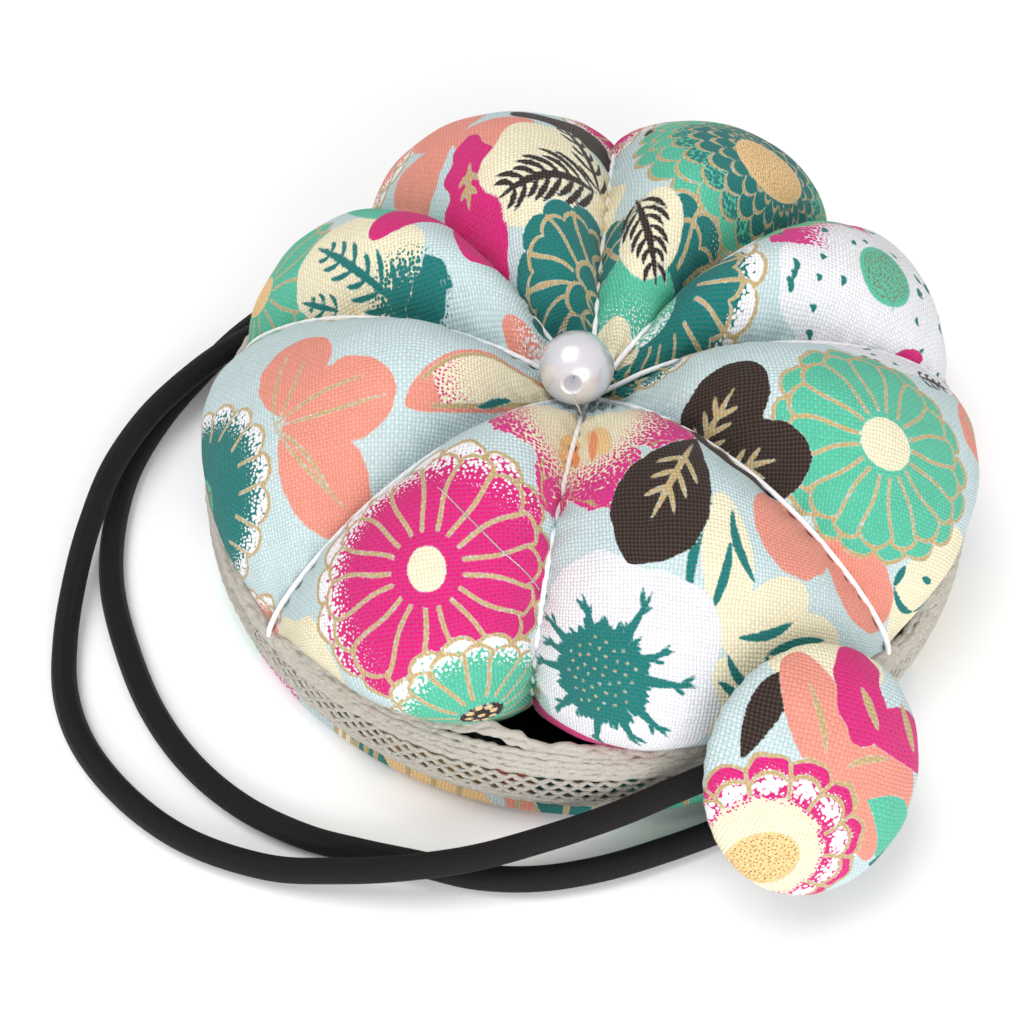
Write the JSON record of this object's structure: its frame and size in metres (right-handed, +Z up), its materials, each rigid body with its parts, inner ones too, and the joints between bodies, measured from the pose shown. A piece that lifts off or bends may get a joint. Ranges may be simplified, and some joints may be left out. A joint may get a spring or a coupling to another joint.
{
  "type": "wrist pin cushion",
  "caption": "Stuffed cloth pumpkin pin cushion glued in a shallow cloth-covered cup with a lace band, a pearl, an elastic wrist loop and a covered button.",
  "frame": {"origin": "centre of the flat underside", "axes": "+Z up out of the cushion, -Y towards the front, where the button hangs, +X to the right"},
  "size_m": [0.0921, 0.0879, 0.0282],
  "materials": {
    "printed_cotton": "plain-weave printed quilting cotton, matt",
    "polyester_fibre": "loose white polyester filling, hidden",
    "white_thread": "twisted white cotton thread",
    "pearl": "pearlescent imitation pearl",
    "clear_nylon": "clear nylon thread",
    "cup_plastic": "black moulded plastic, glossy inside",
    "underside_felt": "black felt",
    "crochet_lace": "cream cotton crochet lace",
    "hot_glue": "set hot-melt glue, hidden",
    "black_elastic": "braided polyester over rubber, slightly fuzzy",
    "button_metal": "pressed tinplate and wire",
    "button_nylon": "white moulded nylon"
  },
  "bodies": {
    "root": {"base_cup": "cup_plastic", "base_cover": "printed_cotton", "underside_disc": "underside_felt", "glue_bed": "hot_glue", "lace_trim": "crochet_lace", "cushion_cover": "printed_cotton", "cushion_filling": "polyester_fibre", "gathering_thread": "white_thread", "centre_thread": "white_thread", "bead_filament": "clear_nylon", "pit_knot": "white_thread", "elastic_loop": "black_elastic", "elastic_knot": "black_elastic", "stitch_knot": "white_thread", "lobe_thread_1": "white_thread", "lobe_thread_2": "white_thread", "lobe_thread_3": "white_thread", "lobe_thread_4": "white_thread", "lobe_thread_5": "white_thread", "lobe_thread_6": "white_thread", "lobe_thread_7": "white_thread", "lobe_thread_8": "white_thread"},
    "pearl": {"pearl_bead": "pearl"},
    "stitches": {"button_stitches": "white_thread"},
    "button": {"button_cloth": "printed_cotton", "button_shell": "button_metal", "button_back": "button_nylon", "button_shank": "button_metal"}
  },
  "joints": [
    {"name": "pearl_spin", "type": "hinge", "parent": "root", "child": "pearl", "pos_m": [-0.0014, -0.0016, 0.0223], "axis": [-0.1578, -0.9137, 0.3746], "continuous": true},
    {"name": "button_tilt", "type": "hinge", "parent": "root", "child": "stitches", "pos_m": [0.01653, -0.03626, 0.0072], "axis": [0.91, 0.4147, 0], "range_deg": [0, 18]},
    {"name": "button_spin", "type": "hinge", "parent": "stitches", "child": "button", "pos_m": [0.0191, -0.0403, 0.0132], "axis": [0.4436, -0.6106, 0.6561], "range_deg": [-25, 25]}
  ]
}
